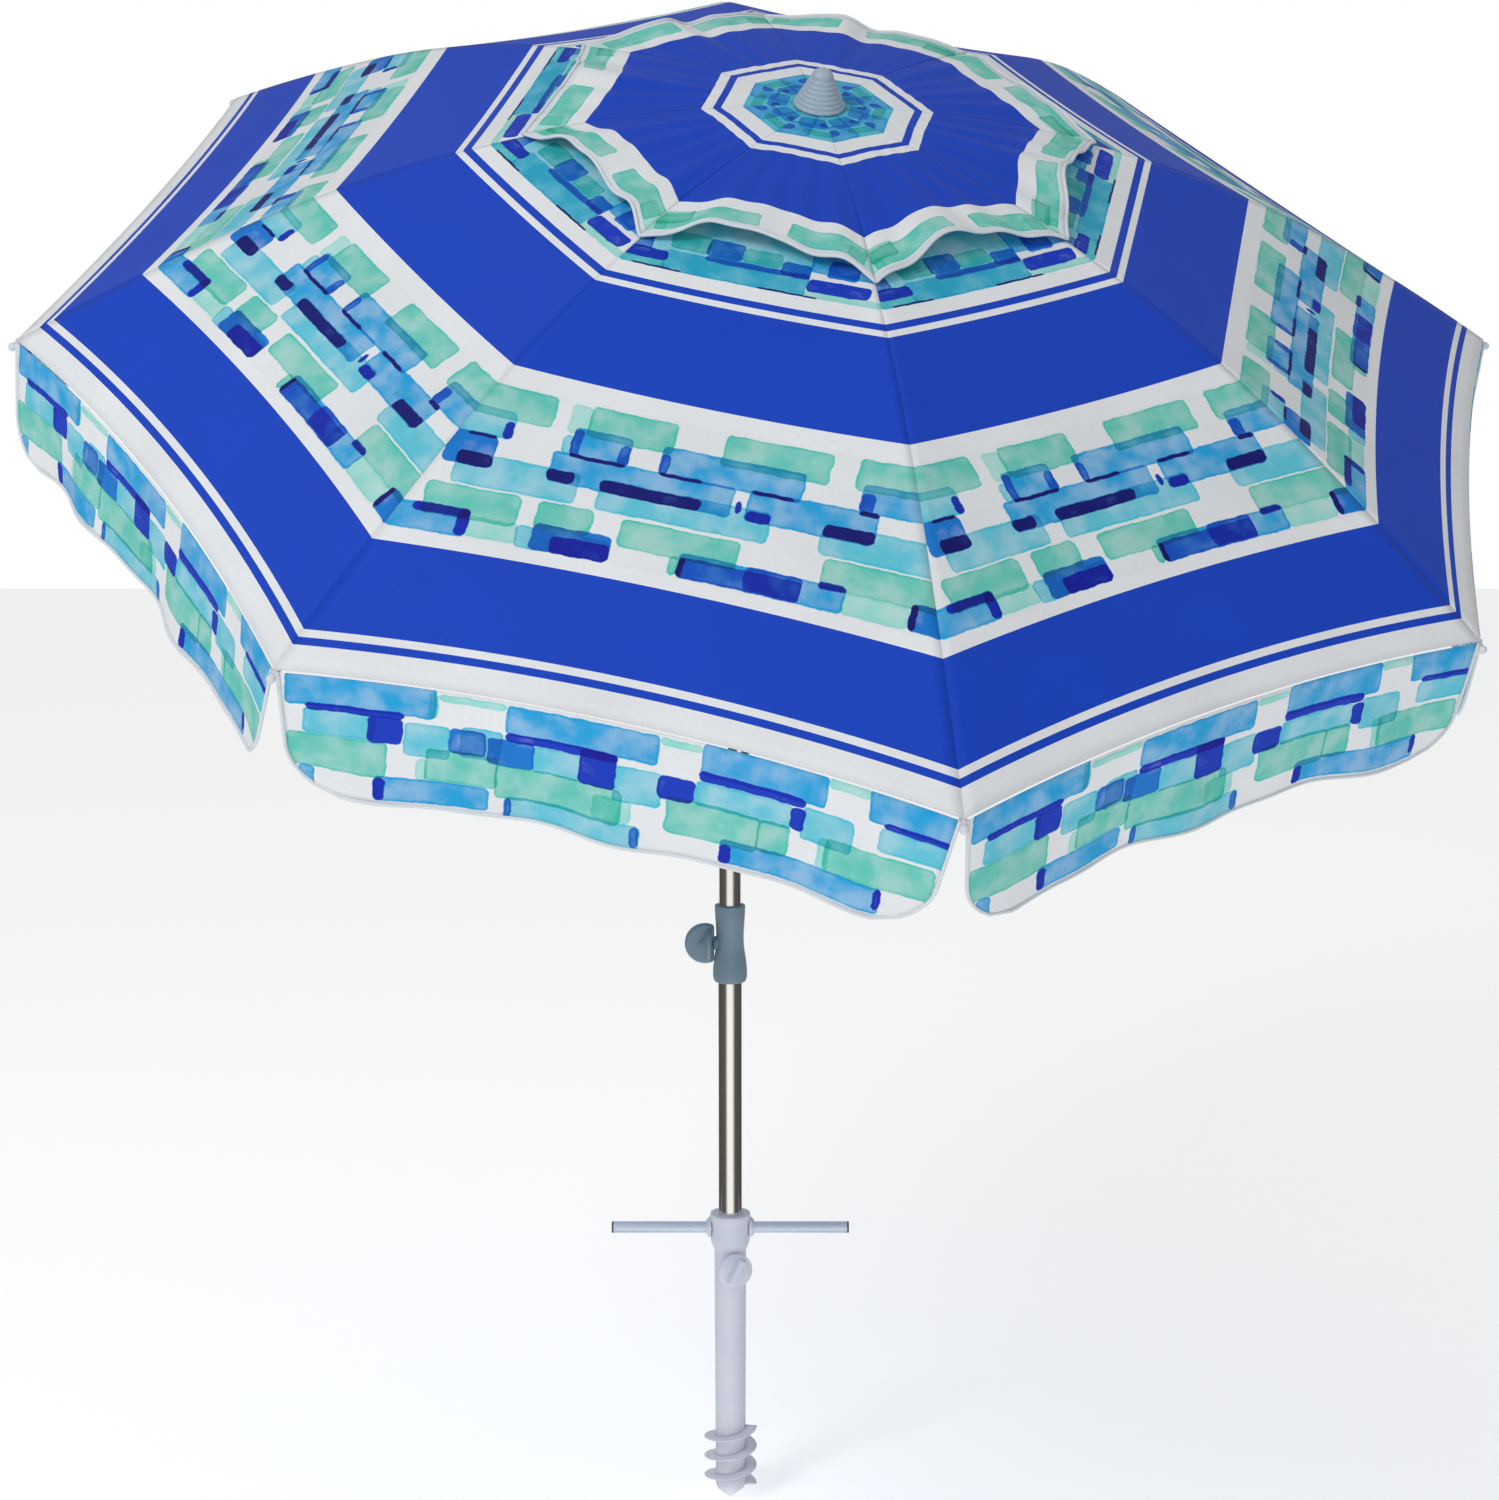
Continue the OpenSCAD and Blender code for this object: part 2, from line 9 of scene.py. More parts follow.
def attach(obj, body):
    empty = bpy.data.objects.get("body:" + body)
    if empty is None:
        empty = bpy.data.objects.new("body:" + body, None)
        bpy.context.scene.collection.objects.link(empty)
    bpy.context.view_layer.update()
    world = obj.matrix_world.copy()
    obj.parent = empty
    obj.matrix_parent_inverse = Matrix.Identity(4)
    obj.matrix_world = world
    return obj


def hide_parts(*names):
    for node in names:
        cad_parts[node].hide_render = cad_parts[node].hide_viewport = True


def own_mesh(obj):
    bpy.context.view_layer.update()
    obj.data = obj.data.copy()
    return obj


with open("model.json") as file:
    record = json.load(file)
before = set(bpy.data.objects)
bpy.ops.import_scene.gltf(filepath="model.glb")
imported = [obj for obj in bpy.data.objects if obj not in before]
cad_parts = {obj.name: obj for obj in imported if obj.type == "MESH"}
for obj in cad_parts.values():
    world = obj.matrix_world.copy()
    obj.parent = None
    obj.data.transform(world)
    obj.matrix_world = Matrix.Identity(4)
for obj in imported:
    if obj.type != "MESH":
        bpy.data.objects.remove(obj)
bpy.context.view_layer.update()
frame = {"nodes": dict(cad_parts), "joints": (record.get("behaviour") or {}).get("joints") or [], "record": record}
joints = {j["name"]: j for j in frame["joints"]}
print("frame loaded:", len(frame["nodes"]), "CAD nodes")

# metres, in the canopy's own frame: its top at the origin, +Z along its axis, rib 1 at -90 degrees
canopy = {
    "gores": 8,
    "rimRadius": 0.950,
    "crownBend": 1.500,
    "skirtBend": 3.900,
    "joinSlope": radians(27.5),
    "headLength": 1.110,
    "inwardSag": 0.007,
    "printBow": 0.020475,
    "clothThickness": 0.0009,
    "rowStep": 0.013,
    "columns": 44,
    "closedWidth": 0.14,
}
halfSector = pi / canopy["gores"]
acrossScale = cos(halfSector)
sideScale = sin(halfSector)

axisUp = -Vector(joints["canopy_fold"]["axis"]).normalized()
ribTangent = Vector(joints["rib_1_fold"]["axis"]).normalized()
ribOut = ribTangent.cross(axisUp).normalized()
canopyTop = Vector(joints["head_tilt"]["pos_m"]) + axisUp * canopy["headLength"]
# rib 1 lies at -90 degrees, so its outward direction is the frame's -Y
canopyMatrix = Matrix.Translation(canopyTop) @ Matrix((ribTangent, -ribOut, axisUp)).transposed().to_4x4()

joinRadius = canopy["crownBend"] * sin(canopy["joinSlope"])
skirtX = joinRadius - canopy["skirtBend"] * sin(canopy["joinSlope"])
skirtZ = -canopy["crownBend"] + (canopy["crownBend"] - canopy["skirtBend"]) * cos(canopy["joinSlope"])


def surfaceHeight(radius):
    if radius <= joinRadius:
        return sqrt(canopy["crownBend"] ** 2 - radius ** 2) - canopy["crownBend"]
    return skirtZ + sqrt(canopy["skirtBend"] ** 2 - (radius - skirtX) ** 2)


def smoothStep(low, high, value):
    t = min(max((value - low) / (high - low), 0), 1)
    return t * t * (3 - 2 * t)


def stripeBow(radius):
    # print lines pull towards the top between the ribs, more so near the rim
    return canopy["printBow"] * smoothStep(0.56, 0.97, radius)


def goreAzimuth(k):
    return -pi / 2 + (k - 0.5) * 2 * halfSector


def ribAzimuth(k):
    return -pi / 2 + (k - 1) * 2 * halfSector


def turned(azimuth, out, side, height):
    return canopyMatrix @ Vector((
        out * cos(azimuth) - side * sin(azimuth),
        out * sin(azimuth) + side * cos(azimuth),
        height,
    ))


def panelPoint(k, across, radius):
    arch = 1 - across ** 2
    out = radius * acrossScale - stripeBow(radius) * arch
    height = surfaceHeight(out / acrossScale)
    height -= canopy["inwardSag"] * arch * sin(pi * smoothStep(0.2, 1.05, radius))
    return turned(goreAzimuth(k), out, across * radius * sideScale, height)


# ---- node helpers ----
def addNode(tree, kind, **values):
    node = tree.nodes.new(kind)
    for name, value in values.items():
        setattr(node, name, value)
    return node


def join(tree, source, target):
    tree.links.new(source, target)


def mathNode(tree, operation, first, second=None, third=None):
    node = addNode(tree, "ShaderNodeMath", operation=operation)
    for i, value in enumerate((first, second, third)):
        if value is None:
            continue
        if isinstance(value, (int, float)):
            node.inputs[i].default_value = value
        else:
            join(tree, value, node.inputs[i])
    return node.outputs[0]


def vectorNode(tree, operation, first, second=None):
    node = addNode(tree, "ShaderNodeVectorMath", operation=operation)
    for i, value in enumerate((first, second)):
        if value is None:
            continue
        if isinstance(value, (tuple, list)):
            node.inputs[i].default_value = value
        else:
            join(tree, value, node.inputs[i])
    return node.outputs["Value" if operation == "LENGTH" else "Vector"]


def rampNode(tree, value, low, high, outLow=0.0, outHigh=1.0):
    node = addNode(tree, "ShaderNodeMapRange", interpolation_type="SMOOTHSTEP")
    join(tree, value, node.inputs["Value"])
    for name, number in (("From Min", low), ("From Max", high), ("To Min", outLow), ("To Max", outHigh)):
        node.inputs[name].default_value = number
    return node.outputs["Result"]


def mixColour(tree, factor, first, second, blend="MIX"):
    node = addNode(tree, "ShaderNodeMix", data_type="RGBA", blend_type=blend)
    for socket, value in ((node.inputs[0], factor), (node.inputs[6], first), (node.inputs[7], second)):
        if isinstance(value, (int, float, tuple)):
            socket.default_value = value
        else:
            join(tree, value, socket)
    return node.outputs[2]


def noiseNode(tree, place, scale, detail=3.0):
    node = addNode(tree, "ShaderNodeTexNoise")
    join(tree, place, node.inputs["Vector"])
    node.inputs["Scale"].default_value = scale
    node.inputs["Detail"].default_value = detail
    return node


def newGroup(name, inputs, outputs):
    tree = bpy.data.node_groups.new(name, "ShaderNodeTree")
    kinds = {"f": "NodeSocketFloat", "c": "NodeSocketColor", "v": "NodeSocketVector"}
    for label, kind in inputs:
        tree.interface.new_socket(label, in_out="INPUT", socket_type=kinds[kind])
    for label, kind in outputs:
        tree.interface.new_socket(label, in_out="OUTPUT", socket_type=kinds[kind])
    return tree, tree.nodes.new("NodeGroupInput"), tree.nodes.new("NodeGroupOutput")


def placeGroup(tree, group, **values):
    node = addNode(tree, "ShaderNodeGroup", node_tree=group)
    for name, value in values.items():
        socket = node.inputs[name]
        if isinstance(value, (int, float, tuple)):
            socket.default_value = value
        else:
            join(tree, value, socket)
    return node


def srgb(red, green, blue):
    def channel(v):
        v /= 255
        return v / 12.92 if v <= 0.04045 else ((v + 0.055) / 1.055) ** 2.4
    return (channel(red), channel(green), channel(blue), 1.0)


def makeWeave():
    # woven cloth: crossing threads and soft puckers; the tone is painted shade that darkens the pucker hollows, with a
    # faint unevenness of the dye
    tree, into, out = newGroup("wovenCloth", [("Place", "v"), ("Threads", "f"), ("Pucker", "f")],
                               [("Height", "f"), ("Shade", "f")])
    split = addNode(tree, "ShaderNodeSeparateXYZ")
    join(tree, into.outputs["Place"], split.inputs[0])
    warp = mathNode(tree, "SINE", mathNode(tree, "MULTIPLY", split.outputs[0], into.outputs["Threads"]))
    weft = mathNode(tree, "SINE", mathNode(tree, "MULTIPLY", split.outputs[1], into.outputs["Threads"]))
    threads = mathNode(tree, "MULTIPLY", warp, weft)
    soft = noiseNode(tree, into.outputs["Place"], 9, 2).outputs["Fac"]
    fine = noiseNode(tree, into.outputs["Place"], 160, 2).outputs["Fac"]
    swell = mathNode(tree, "MULTIPLY", soft, into.outputs["Pucker"])
    join(tree, mathNode(tree, "ADD", mathNode(tree, "MULTIPLY", threads, 0.12), swell), out.inputs["Height"])
    # painted shade: the pucker noise also darkens the colour where the cloth sinks; the fine noise is uneven dye
    puckerShadeAndDye = mathNode(tree, "ADD", mathNode(tree, "MULTIPLY", soft, 0.16), mathNode(tree, "MULTIPLY", fine, 0.06))
    join(tree, mathNode(tree, "ADD", puckerShadeAndDye, 0.89), out.inputs["Shade"])
    return tree


def makePaintBlock():
    # one brushed block of a watercolour print, laid over the colour under it
    tree, into, out = newGroup(
        "paintBlock",
        [("Paper", "c"), ("Place", "v"), ("Centre", "v"), ("Half", "v"), ("Ink", "c"), ("Wash", "f"), ("Least", "f")],
        [("Paper", "c")])
    corner = 0.006
    away = vectorNode(tree, "ABSOLUTE", vectorNode(tree, "SUBTRACT", into.outputs["Place"], into.outputs["Centre"]))
    past = vectorNode(tree, "ADD", vectorNode(tree, "SUBTRACT", away, into.outputs["Half"]), (corner, corner, 0))
    outside = vectorNode(tree, "LENGTH", vectorNode(tree, "MAXIMUM", past, (0, 0, 0)))
    split = addNode(tree, "ShaderNodeSeparateXYZ")
    join(tree, past, split.inputs[0])
    inside = mathNode(tree, "MINIMUM", mathNode(tree, "MAXIMUM", split.outputs[0], split.outputs[1]), 0.0)
    edge = mathNode(tree, "SUBTRACT", mathNode(tree, "ADD", outside, inside), corner)
    mask = rampNode(tree, edge, -0.0007, 0.0007, 1.0, 0.0)
    rim = rampNode(tree, edge, -0.004, -0.001, 0.0, 0.16)
    depth = mathNode(tree, "ADD", mathNode(tree, "MULTIPLY", into.outputs["Wash"], 0.32), into.outputs["Least"])
    depth = mathNode(tree, "MINIMUM", mathNode(tree, "ADD", depth, rim), 1.0)
    laid = mixColour(tree, mathNode(tree, "MULTIPLY", mask, depth), into.outputs["Paper"], into.outputs["Ink"],
                     "MULTIPLY")
    join(tree, laid, out.inputs["Paper"])
    return tree


def makeSpeckle():
    # moulded plastic or coated metal: a fine skin, a slow change of tone and rubbed patches
    tree, into, out = newGroup("surfaceSkin", [("Place", "v"), ("Grain", "f"), ("Change", "f")],
                               [("Height", "f"), ("Shade", "f"), ("Rub", "f")])
    scaled = addNode(tree, "ShaderNodeTexNoise")
    join(tree, into.outputs["Place"], scaled.inputs["Vector"])
    join(tree, into.outputs["Grain"], scaled.inputs["Scale"])
    scaled.inputs["Detail"].default_value = 4
    slow = noiseNode(tree, into.outputs["Place"], 14, 4).outputs["Fac"]
    join(tree, scaled.outputs["Fac"], out.inputs["Height"])
    tone = mathNode(tree, "MULTIPLY", mathNode(tree, "SUBTRACT", slow, 0.5), into.outputs["Change"])
    join(tree, mathNode(tree, "ADD", tone, 1.0), out.inputs["Shade"])
    join(tree, rampNode(tree, slow, 0.48, 0.72), out.inputs["Rub"])
    return tree


weaveGroup = makeWeave()
blockGroup = makePaintBlock()
skinGroup = makeSpeckle()

inks = {
    "mint": srgb(88, 216, 196),
    "paleMint": srgb(158, 238, 226),
    "aqua": srgb(84, 212, 234),
    "sky": srgb(32, 176, 238),
    "blue": srgb(16, 130, 224),
    "royal": srgb(10, 62, 206),
    "navy": srgb(6, 22, 140),
}
leastInk = {"navy": 0.92, "royal": 0.90, "blue": 0.78, "sky": 0.68}
cloth = {
    "royal": srgb(8, 68, 198),
    "white": srgb(236, 239, 242),
    "paper": srgb(232, 236, 239),
    "binding": srgb(222, 229, 234),
    "threads": 5200.0,
    "bump": 0.22,
    "roughness": 0.62,
}

# print blocks, in millimetres across the gore and down it: (left, right, top, bottom, ink)
midBlocks = [
    (-262, -158, 598, 638, "mint"), (-142, -118, 601, 638, "paleMint"), (-120, -25, 598, 638, "mint"),
    (27, 145, 598, 638, "mint"), (173, 276, 598, 637, "mint"),
    (-262, -196, 628, 662, "aqua"), (-206, -196, 640, 662, "royal"), (-142, -130, 640, 664, "aqua"),
    (-133, -68, 628, 665, "sky"), (-133, -122, 630, 664, "blue"), (-80, -68, 638, 664, "blue"),
    (-35, 122, 628, 665, "sky"), (-35, -24, 638, 664, "blue"), (183, 284, 628, 662, "sky"),
    (183, 199, 638, 662, "blue"),
    (-262, -208, 661, 700, "blue"), (-148, 52, 662, 700, "sky"), (67, 208, 660, 699, "sky"),
    (-134, -68, 661, 666, "navy"), (-35, 16, 661, 666, "navy"), (67, 116, 660, 665, "navy"),
    (183, 208, 660, 666, "navy"), (-245, -208, 660, 664, "navy"),
    (-247, -112, 684, 722, "aqua"), (-90, 97, 684, 722, "aqua"), (152, 296, 683, 720, "aqua"),
    (-247, -208, 684, 700, "navy"), (-148, -118, 684, 699, "navy"), (-90, 20, 685, 700, "navy"),
    (56, 62, 676, 694, "royal"), (68, 97, 686, 699, "royal"), (152, 208, 683, 698, "navy"),
    (-268, -165, 724, 762, "mint"), (-215, -160, 757, 781, "paleMint"), (-147, -86, 724, 757, "mint"),
    (-56, 73, 726, 761, "mint"), (162, 300, 722, 757, "mint"), (190, 262, 757, 781, "paleMint"),
    (-300, -213, 751, 783, "sky"), (-276, -213, 750, 761, "royal"), (-226, -213, 752, 782, "royal"),
    (-162, -60, 757, 783, "aqua"), (-145, -60, 751, 783, "blue"), (-124, -60, 762, 783, "royal"),
    (3, 14, 758, 781, "mint"), (13, 192, 752, 782, "sky"), (13, 146, 757, 782, "blue"), (13, 20, 757, 782, "navy"),
    (84, 146, 752, 780, "blue"), (160, 192, 750, 758, "royal"), (262, 310, 750, 781, "blue"),
    (262, 270, 750, 781, "navy"),
]
valanceBlocks = [
    (-352, -192, -4, 36, "sky"), (-200, -190, 2, 34, "paleMint"), (-190, -118, 3, 12, "paleMint"),
    (-118, 44, 4, 40, "sky"), (44, 90, 4, 13, "paleMint"), (89, 222, -2, 38, "sky"),
    (222, 268, -2, 11, "paleMint"), (267, 366, -4, 35, "sky"),
    (-330, -225, 32, 41, "royal"), (-118, 3, 37, 48, "royal"), (88, 203, 33, 45, "royal"), (284, 366, 31, 39, "royal"),
    (-332, -255, 38, 70, "aqua"), (-263, -225, 40, 71, "royal"), (-224, -175, 42, 82, "aqua"),
    (-176, -137, 42, 73, "blue"), (-165, -120, 38, 76, "aqua"), (-136, -86, 46, 79, "blue"),
    (-88, -35, 48, 80, "aqua"), (-38, 2, 38, 80, "royal"), (0, 52, 48, 90, "aqua"), (47, 86, 48, 77, "royal"),
    (86, 190, 45, 76, "aqua"), (188, 204, 46, 74, "royal"), (200, 256, 42, 82, "aqua"), (282, 362, 38, 66, "aqua"),
    (-350, -240, 70, 113, "mint"), (-209, -197, 84, 112, "paleMint"), (-200, -122, 70, 110, "mint"),
    (-125, 12, 78, 120, "mint"), (-20, 22, 88, 116, "paleMint"), (58, 158, 72, 117, "mint"),
    (156, 190, 72, 113, "mint"), (220, 234, 72, 110, "paleMint"), (228, 346, 70, 110, "mint"),
    (-336, -318, 112, 140, "sky"), (-252, -130, 110, 139, "sky"), (-252, -240, 112, 139, "royal"),
    (-114, 35, 116, 146, "aqua"), (-114, -106, 118, 144, "blue"), (24, 34, 117, 142, "blue"),
    (119, 294, 109, 139, "sky"), (119, 132, 116, 140, "royal"), (286, 294, 109, 134, "royal"),
]
ringBlocks = [
    (-150, 62, 300, 393, "aqua"), (-160, 160, 225, 300, "aqua"), (-102, 62, 360, 393, "aqua"),
    (-148, -98, 363, 381, "royal"), (62, 134, 362, 383, "royal"), (-58, -17, 328, 357, "blue"),
    (-58, 62, 357, 366, "blue"), (28, 62, 342, 364, "blue"), (-100, -55, 326, 356, "mint"),
    (-17, 28, 332, 356, "mint"), (60, 150, 300, 352, "sky"), (80, 116, 326, 356, "blue"),
    (60, 150, 382, 392, "paleMint"), (-138, -76, 390, 393, "navy"), (6, 78, 390, 393, "navy"),
    (-150, -98, 381, 392, "paleMint"), (-160, -118, 320, 366, "blue"),
]
ventBlocks = [
    (-124, -8, 308, 343, "mint"), (-124, -84, 300, 330, "mint"), (26, 118, 304, 343, "mint"),
    (96, 140, 312, 343, "paleMint"), (-140, -110, 322, 343, "paleMint"),
]
crownBlocks = [
    (-40, 6, 20, 60, "aqua"), (2, 40, 34, 93, "aqua"), (-40, 4, 56, 93, "sky"), (-14, 22, 40, 66, "sky"),
    (-6, 34, 70, 84, "mint"), (-34, -16, 66, 80, "blue"), (10, 28, 48, 60, "blue"),
]


def newMaterial(name):
    material = bpy.data.materials.new(name)
    material.use_nodes = True
    tree = material.node_tree
    shader = tree.nodes["Principled BSDF"]
    return material, tree, shader


def clothMaterial(name, colour=None, blocks=(), paper=None, pucker=1.0):
    material, tree, shader = newMaterial(name)
    uv = addNode(tree, "ShaderNodeUVMap", uv_map="print").outputs["UV"]
    weave = placeGroup(tree, weaveGroup, Place=uv, Threads=cloth["threads"], Pucker=pucker)
    if blocks:
        # a ragged, hand-brushed edge and pools of stronger dye
        ragged = noiseNode(tree, uv, 70, 3).outputs["Color"]
        shift = vectorNode(tree, "MULTIPLY", vectorNode(tree, "SUBTRACT", ragged, (0.5, 0.5, 0.5)), (0.006, 0.0045, 0))
        place = vectorNode(tree, "ADD", uv, shift)
        wash = rampNode(tree, noiseNode(tree, uv, 26, 5).outputs["Fac"], 0.30, 0.66)
        laid = paper
        for left, right, top, bottom, ink in blocks:
            block = placeGroup(
                tree, blockGroup, Paper=laid, Place=place, Ink=inks[ink], Wash=wash, Least=leastInk.get(ink, 0.62),
                Centre=((left + right) / 2000, (top + bottom) / 2000, 0),
                Half=((right - left) / 2000, (bottom - top) / 2000, 1))
            laid = block.outputs["Paper"]
        colour = laid
    toned = addNode(tree, "ShaderNodeHueSaturation")
    if isinstance(colour, tuple):
        toned.inputs["Color"].default_value = colour
    else:
        join(tree, colour, toned.inputs["Color"])
    join(tree, weave.outputs["Shade"], toned.inputs["Value"])
    join(tree, toned.outputs["Color"], shader.inputs["Base Color"])
    bump = addNode(tree, "ShaderNodeBump")
    bump.inputs["Strength"].default_value = cloth["bump"]
    bump.inputs["Distance"].default_value = 0.004
    join(tree, weave.outputs["Height"], bump.inputs["Height"])
    join(tree, bump.outputs["Normal"], shader.inputs["Normal"])
    shader.inputs["Roughness"].default_value = cloth["roughness"]
    shader.inputs["Specular IOR Level"].default_value = 0.22
    shader.inputs["Sheen Weight"].default_value = 0.03
    shader.inputs["Sheen Roughness"].default_value = 0.5
    return material


clothMaterials = {
    "royal": clothMaterial("royalCloth", colour=cloth["royal"]),
    "white": clothMaterial("whiteCloth", colour=cloth["white"]),
    "mid": clothMaterial("midBandPrint", blocks=midBlocks, paper=cloth["paper"]),
    "ring": clothMaterial("ringPrint", blocks=ringBlocks, paper=cloth["paper"]),
    "vent": clothMaterial("ventEdgePrint", blocks=ventBlocks, paper=cloth["white"]),
    "crown": clothMaterial("crownPrint", blocks=crownBlocks, paper=srgb(150, 222, 232)),
    "valance": clothMaterial("valancePrint", blocks=valanceBlocks, paper=cloth["white"], pucker=1.4),
    "binding": clothMaterial("bindingTape", colour=cloth["binding"]),
}


def skinMaterial(name, colour, roughness, grain=900.0, bump=0.12, change=0.14, rubTo=None, metallic=0.0, stretch=None):
    material, tree, shader = newMaterial(name)
    place = addNode(tree, "ShaderNodeTexCoord").outputs["Object"]
    if stretch:
        mapping = addNode(tree, "ShaderNodeMapping")
        mapping.inputs["Scale"].default_value = stretch
        join(tree, place, mapping.inputs["Vector"])
        place = mapping.outputs["Vector"]
    skin = placeGroup(tree, skinGroup, Place=place, Grain=grain, Change=change)
    toned = addNode(tree, "ShaderNodeHueSaturation")
    if rubTo:
        rub = mathNode(tree, "MULTIPLY", skin.outputs["Rub"], 0.45)
        join(tree, mixColour(tree, rub, colour, rubTo), toned.inputs["Color"])
    else:
        toned.inputs["Color"].default_value = colour
    join(tree, skin.outputs["Shade"], toned.inputs["Value"])
    join(tree, toned.outputs["Color"], shader.inputs["Base Color"])
    rough = rampNode(tree, skin.outputs["Height"], 0.3, 0.7, roughness * 0.85, roughness * 1.15)
    join(tree, rough, shader.inputs["Roughness"])
    raised = addNode(tree, "ShaderNodeBump")
    raised.inputs["Strength"].default_value = bump
    raised.inputs["Distance"].default_value = 0.0006
    join(tree, skin.outputs["Height"], raised.inputs["Height"])
    join(tree, raised.outputs["Normal"], shader.inputs["Normal"])
    shader.inputs["Metallic"].default_value = metallic
    return material


finishes = {
    "anchor_plastic": skinMaterial("anchorPlastic", srgb(226, 228, 238), 0.42, rubTo=srgb(204, 212, 232), change=0.10),
    "grey_plastic": skinMaterial("greyPlastic", srgb(126, 148, 160), 0.45, rubTo=srgb(142, 164, 176)),
    "plug_plastic": skinMaterial("plugPlastic", srgb(96, 106, 114), 0.5),
    "pole_tube": skinMaterial("champagneTube", srgb(240, 236, 226), 0.20, grain=40.0, bump=0.04, change=0.05,
                              metallic=1.0, stretch=(60, 60, 1.5)),
    "bar_tube": skinMaterial("paleBarCoat", srgb(218, 228, 238), 0.34, rubTo=srgb(190, 208, 222), metallic=0.3,
                             stretch=(1.5, 40, 40)),
    "rib_steel": skinMaterial("whiteRibCoat", srgb(218, 222, 226), 0.36, change=0.08),
    "brass_insert": skinMaterial("plainBrass", srgb(206, 170, 96), 0.28, metallic=1.0),
    "hardware_steel": skinMaterial("zincSteel", srgb(196, 198, 200), 0.26, metallic=1.0, change=0.08),
}
# painted light: the upward-facing finial gets a lighter copy of the grey plastic, as if lit more from above
finialPlasticPaintedLight = skinMaterial("finialPlasticPaintedLight", srgb(164, 182, 196), 0.4, change=0.08)
slotOf = {s["node"]: s["material_slot"] for s in frame["record"]["subparts"]}
for name, node in frame["nodes"].items():
    node.data.materials.clear()
    node.data.materials.append(finishes.get(slotOf[name], clothMaterials["royal"]))
print("materials made:", len(clothMaterials) + len(finishes))


# ---- piece helpers ----
def keepPiece(name, bm, materials, body, replacing=()):
    mesh = bpy.data.meshes.new(name)
    for face in bm.faces:
        face.smooth = True
    bm.to_mesh(mesh)
    bm.free()
    piece = bpy.data.objects.new(name, mesh)
    bpy.context.collection.objects.link(piece)
    for material in materials:
        mesh.materials.append(material)
    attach(piece, body)
    for node in replacing:
        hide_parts(node)
    return piece


def clothGrid(rows, columns, place, uvAt):
    # a flat grid whose rows are then laid at the given distances down the cloth
    bm = bmesh.new()
    bmesh.ops.create_grid(bm, x_segments=columns, y_segments=len(rows) - 1, size=1, calc_uvs=True)
    levels = sorted({round(v.co.y, 5) for v in bm.verts})
    uv = bm.loops.layers.uv.verify()
    spot = {}
    for vert in bm.verts:
        row = rows[levels.index(round(vert.co.y, 5))]
        spot[vert] = (vert.co.x, row)
    for face in bm.faces:
        for loop in face.loops:
            loop[uv].uv = uvAt(*spot[loop.vert])
    for vert, (across, row) in spot.items():
        vert.co = place(across, row)
    return bm, spot


def finishCloth(piece):
    piece.data.uv_layers[0].name = "print"
    shell = piece.modifiers.new("cloth", "SOLIDIFY")
    shell.thickness = canopy["clothThickness"]
    shell.offset = -1
    piece.data.update()


def faceUp(bm, direction):
    bm.normal_update()
    total = sum((face.normal * face.calc_area() for face in bm.faces), Vector())
    if total.dot(direction) < 0:
        bmesh.ops.reverse_faces(bm, faces=bm.faces)


def spacedRows(edges, step):
    rows = []
    for low, high in zip(edges, edges[1:]):
        pieces = max(1, round((high - low) / step))
        rows += [low + (high - low) * i / pieces for i in range(pieces)]
    return rows + [edges[-1]]


def foldFlat(piece):
    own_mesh(piece)


def tubeAlong(points, radius, name, body, material):
    curve = bpy.data.curves.new(name, "CURVE")
    curve.dimensions = "3D"
    curve.bevel_depth = radius
    curve.bevel_resolution = 2
    curve.use_fill_caps = True
    spline = curve.splines.new("POLY")
    spline.points.add(len(points) - 1)
    for point, place in zip(spline.points, points):
        point.co = (*place, 1)
    holder = bpy.data.objects.new(name + "Path", curve)
    bpy.context.collection.objects.link(holder)
    bpy.context.view_layer.update()
    mesh = bpy.data.meshes.new_from_object(holder.evaluated_get(bpy.context.evaluated_depsgraph_get()))
    bpy.data.objects.remove(holder)
    bm = bmesh.new()
    bm.from_mesh(mesh)
    bmesh.ops.remove_doubles(bm, verts=bm.verts, dist=1e-6)
    bmesh.ops.recalc_face_normals(bm, faces=bm.faces)
    bm.loops.layers.uv.verify()
    piece = keepPiece(name, bm, [material], body)
    piece.data.uv_layers[0].name = "print"
    return piece


# ---- canopy cloth ----
# each band ends at this rib radius
panelBands = [
    (0.393, "ring"), (0.4135, "white"), (0.4235, "royal"), (0.4325, "white"), (0.5717, "royal"),
    (0.5950, "white"), (0.7840, "mid"), (0.7995, "white"), (0.9050, "royal"), (0.9135, "white"),
    (0.9220, "royal"), (0.9500, "white"),
]
panel = {"holeRadius": 0.232, "uses": ["ring", "white", "royal", "mid"]}


def bandOf(bands, radius):
    return next((name for end, name in bands if radius < end), bands[-1][1])


def makePanel(k):
    rows = spacedRows([panel["holeRadius"]] + [end for end, _ in panelBands], canopy["rowStep"])
    bm, spot = clothGrid(rows, canopy["columns"], lambda a, r: panelPoint(k, a, r),
                         lambda a, r: (a * r * sideScale, r))
    for face in bm.faces:
        middle = sum(spot[v][1] for v in face.verts) / len(face.verts)
        face.material_index = panel["uses"].index(bandOf(panelBands, middle))
    faceUp(bm, axisUp)
    area = sum(face.calc_area() for face in bm.faces)
    piece = keepPiece(f"canopyGore{k}", bm, [clothMaterials[n] for n in panel["uses"]], f"panel_{k}",
                      [f"panel_{k}"])
    finishCloth(piece)
    foldFlat(piece)


for k in range(1, canopy["gores"] + 1):
    makePanel(k)
print("canopy gores made")

